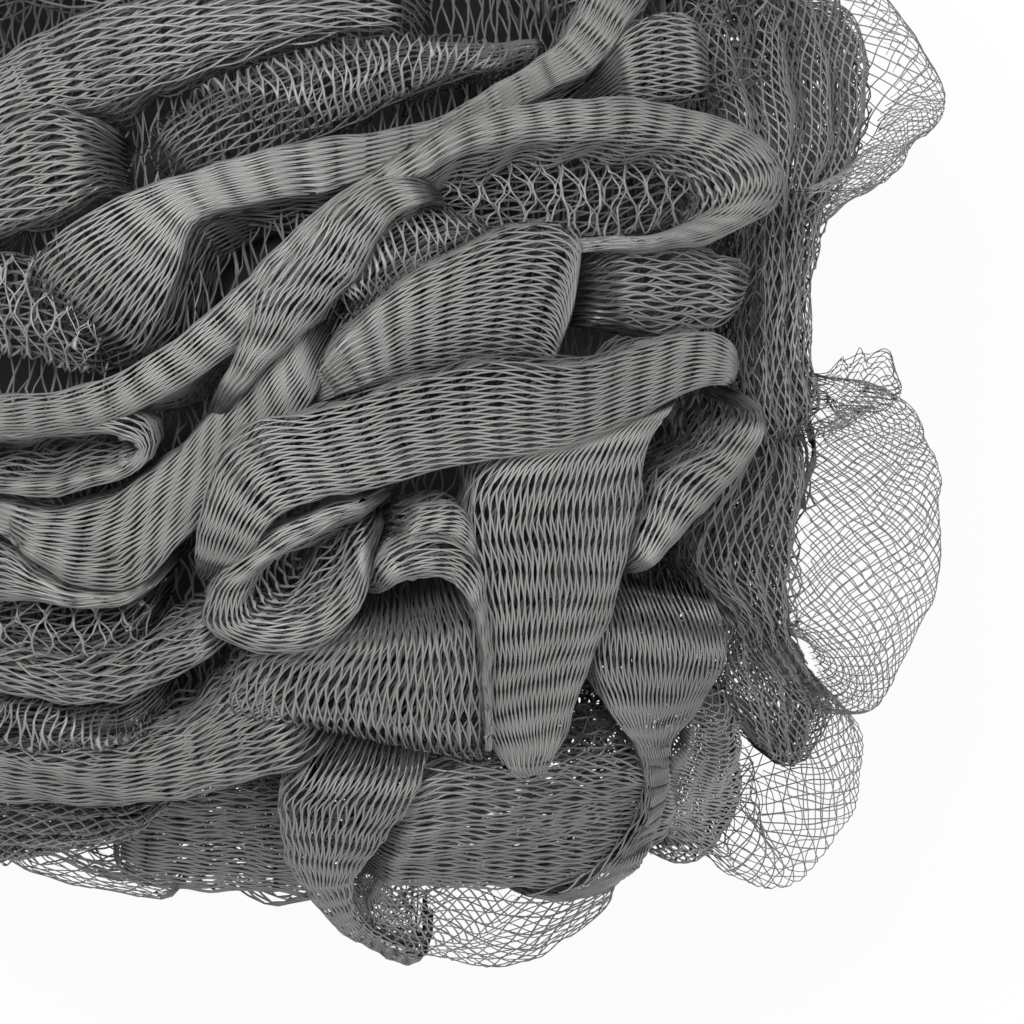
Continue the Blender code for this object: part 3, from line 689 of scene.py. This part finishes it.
def add_net(name, whole, mat):
    """Adds a length of the net as a piece."""
    threads = sum(f.calc_area() for f in whole.faces)
    piece = add_piece(name, whole, mat)


grey_net = make_net_material("grey_net", (0.295, 0.30, 0.287), 0.38)
# A darker copy of the same grey: painted shade for the linings, the blanket and the layer underneath,
# which lie in the shadow of the folds.
shaded_inner_net = make_net_material("shaded_inner_net", (0.15, 0.152, 0.145), 0.5)
TWO_LAYERED = ("curly", "panel", "veil")

# Which piece a fold belongs to: each piece takes the folds up to its number, from where the last ended.
PIECE_OF_FOLD = {
    "upper": 10, "middle": 18, "left": 28, "lower": 34, "rim": 40, "top": 44,
}
SECOND_LAYER_SEED = 40
LINING_SEED = 0.5
SECOND_LAYER_DROP = LINING_DROP * 0.6
LINING_LAYER_DROP = LINING_DROP * 1.6


def make_traced_folds():
    start = 0
    for piece, stop in PIECE_OF_FOLD.items():
        front, lining = bmesh.new(), bmesh.new()
        front_area = lining_area = 0.0
        for number in range(start, stop):
            name, kind, lift_a, lift_b, stations = TRACED_FOLDS[number]
            edge_a, edge_b = traced_edges(lift_a, lift_b, stations)
            if kind in ("lobe", "dense_lobe"):
                length, width = fold_sizes(edge_a, edge_b)
                front_area += net_sheet(
                    front, length, width * 2, KINDS[kind],
                    lambda u, q, rows: lobe_places(edge_a, edge_b, u, q, number), number)
                continue
            if kind == "pocket":
                lining_area += lay_fold(lining, edge_a, edge_b, KINDS[kind], number, skirt=LINING_SKIRT)
                continue
            front_area += lay_fold(front, edge_a, edge_b, KINDS[kind], number,
                                   spreads=SPREADS.get(name, (UNDERCUT, UNDERCUT)))
            if kind in TWO_LAYERED:
                second = (*KINDS[kind][:-1], -KINDS[kind][-1])
                seed = number + SECOND_LAYER_SEED
                if kind == "veil":
                    lining_area += lay_fold(lining, edge_a, edge_b, second, seed, skirt=LINING_SKIRT,
                                            drop=LINING_DROP, wider=LINING_WIDER)
                else:
                    front_area += lay_fold(front, edge_a, edge_b, second, seed, skirt=LINING_SKIRT,
                                           drop=SECOND_LAYER_DROP, wider=LINING_WIDER)
            lining_area += lay_fold(lining, edge_a, edge_b, KINDS["lining"], number + LINING_SEED,
                                    skirt=LINING_SKIRT, drop=LINING_LAYER_DROP, wider=LINING_WIDER)
        start = stop
        add_net(piece + "_net", front, grey_net)
        add_net(piece + "_lining", lining, shaded_inner_net)


make_traced_folds()

# The blanket: the next layer of the same net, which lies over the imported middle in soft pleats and
# shows at the bottom of each valley between the folds.
BLANKET_R = 0.0585
BLANKET_REACH = math.radians(70)
BLANKET_DENT = 0.5
BLANKET_PLEAT = 0.0022
BLANKET_SIZE = 0.142
BLANKET_KIND = ((0.0013, 0.0066), 0.00013, 0, 2, 0.0005, 0, 1, 0.6, 0)


def blanket_places(u, q, rows):
    side_way, up_way = (u - 0.5) * 2 * BLANKET_REACH, q * BLANKET_REACH
    polar, turn = np.hypot(side_way, up_way), np.arctan2(up_way, side_way)
    pleats = np.sin(side_way * 31 + 2.2 * np.sin(up_way * 5)) * np.cos(up_way * 2.3 + side_way)
    radius = (BLANKET_R + BLANKET_PLEAT * pleats
              - BLANKET_DENT * dent_depth(turn) * np.sin(polar) ** 2)[:, None]
    ring = np.sin(polar)
    return MIDDLE + radius * np.stack([ring * np.cos(turn), ring * np.sin(turn), np.cos(polar)], axis=1)


def make_blanket():
    whole = bmesh.new()
    flat_area = net_sheet(whole, BLANKET_SIZE, BLANKET_SIZE, BLANKET_KIND, blanket_places, 3)
    add_net("net_blanket", whole, shaded_inner_net)


make_blanket()

# The ruffles outside that view: rows of the same net that meander round the ball, one above another,
# with looser rows pressed in between them, over a pleated layer that goes all the way round.
ROW_KIND = ((0.0072, 0.0013), 0.00015, 0.0020, 2, 0.0002, 0, 1, 0.4, 0.5)
LOOSE_ROW_KIND = ((0.0030, 0.0066), 0.00014, 0.0022, 2, 0.0003, 0, 1, 0.8, 0)
UNDER_KIND = ((0.0020, 0.0066), 0.00015, 0, 2, 0.0005, 0, 0, 0.4, 0)
ROW_SKIRT = 0.006
RUFFLE_WIDTH = 0.0105
LOOSE_ROW_WIDTH = RUFFLE_WIDTH * 0.8
RUFFLE_WAVE = 0.0055
RUFFLE_RISE = 0.0016
RUFFLE_STEP = 0.0085
RUFFLE_TWIST = 2.4

# A row: how far it lies from the top, how many waves a whole turn would hold, the angles where it
# starts and ends, counted from +X, and how many steps of LIFT_STEP it lies deeper.
RUFFLE_ROWS = [
    (40, 6, 50, 228, 0), (54, 8, 34, 238, 0), (68, 9, 28, 243, 0), (82, 10, 26, 245, 0),
    (79, 9, -118, 28, 4), (96, 11, 10, 370, 0), (110, 10, 150, 510, 0), (124, 9, -80, 280, 0),
    (138, 7, 60, 420, 0), (152, 5, 200, 560, 0),
]
LOOSE_ROWS = [
    (47, 7, 44, 234, 3), (61, 9, 32, 242, 3), (75, 11, 28, 245, 3), (89, 12, 24, 250, 4),
    (103, 13, 100, 460, 4), (117, 12, -60, 300, 4), (131, 9, 0, 360, 4),
]
UNDER_R = 0.0598
UNDER_PLEAT = 0.0016
UNDER_MIDDLE = math.radians(110)
UNDER_REACH = math.radians(62)
UNDER_OVERLAP = 1.01
UNDER_SIZE = (0.37, 0.13)
UNDER_DENT = 0.9
REST_GAP = 0.0002


def under_places(u, q, rows):
    turn, polar = u * 2 * math.pi * UNDER_OVERLAP, UNDER_MIDDLE + q * UNDER_REACH
    pleats = np.sin(turn * 41 + 2.4 * np.sin(polar * 5)) * np.cos(polar * 3.1 + turn)
    radius = (UNDER_R + UNDER_PLEAT * pleats - UNDER_DENT * dent_depth(turn))[:, None]
    ring = np.sin(polar)
    return MIDDLE + radius * np.stack([ring * np.cos(turn), ring * np.sin(turn), np.cos(polar)], axis=1)


def ruffle_edges(polar, wave_count, phase, start, end, sink, width):
    """The two edges of a ruffle, which meanders along a circle of latitude between two azimuths."""
    run = BALL_R * math.sin(polar) * (end - start)
    stations = round(run / RUFFLE_STEP)
    middle = []
    for i in range(stations + 1):
        turn = start + (end - start) * i / stations
        wave = wave_count * turn + phase + 0.5 * math.sin(2 * turn + phase)
        height = BALL_R - sink * LIFT_STEP - dent_depth(turn) + RUFFLE_RISE * math.sin(2 * wave + phase)
        slope = polar + RUFFLE_WAVE / BALL_R * math.sin(wave)
        flat = height * math.sin(slope)
        middle.append(Vector((flat * math.cos(turn), flat * math.sin(turn), height * math.cos(slope))))
    edge_a, edge_b = [], []
    for i, point in enumerate(middle):
        forward = middle[min(i + 1, stations)] - middle[max(i - 1, 0)]
        side = forward.cross(point).normalized() * width / 2
        edge_a.append(MIDDLE + np.array((point + side).normalized() * point.length))
        edge_b.append(MIDDLE + np.array((point - side).normalized() * point.length))
    return edge_a, edge_b


def set_down(whole):
    """The underside, pressed flat where the ball rests."""
    for v in whole.verts:
        v.co.z = max(v.co.z, REST_GAP)


def make_under_layer():
    whole = bmesh.new()
    flat_area = net_sheet(whole, *UNDER_SIZE, UNDER_KIND, under_places, 5)
    set_down(whole)
    add_net("under_layer", whole, shaded_inner_net)


def make_rows(names, table, kind, width):
    for row, (polar, wave_count, start, end, sink) in enumerate(table):
        angles = [math.radians(v) for v in (polar, start, end)]
        edge_a, edge_b = ruffle_edges(angles[0], wave_count, RUFFLE_TWIST * row, angles[1], angles[2],
                                      sink, width)
        whole = bmesh.new()
        flat_area = lay_fold(whole, edge_a, edge_b, kind, row, skirt=ROW_SKIRT)
        set_down(whole)
        add_net(f"{names}_{row + 1}", whole, grey_net)


make_under_layer()
make_rows("loose_row", LOOSE_ROWS, LOOSE_ROW_KIND, LOOSE_ROW_WIDTH)
make_rows("ruffle_row", RUFFLE_ROWS, ROW_KIND, RUFFLE_WIDTH)
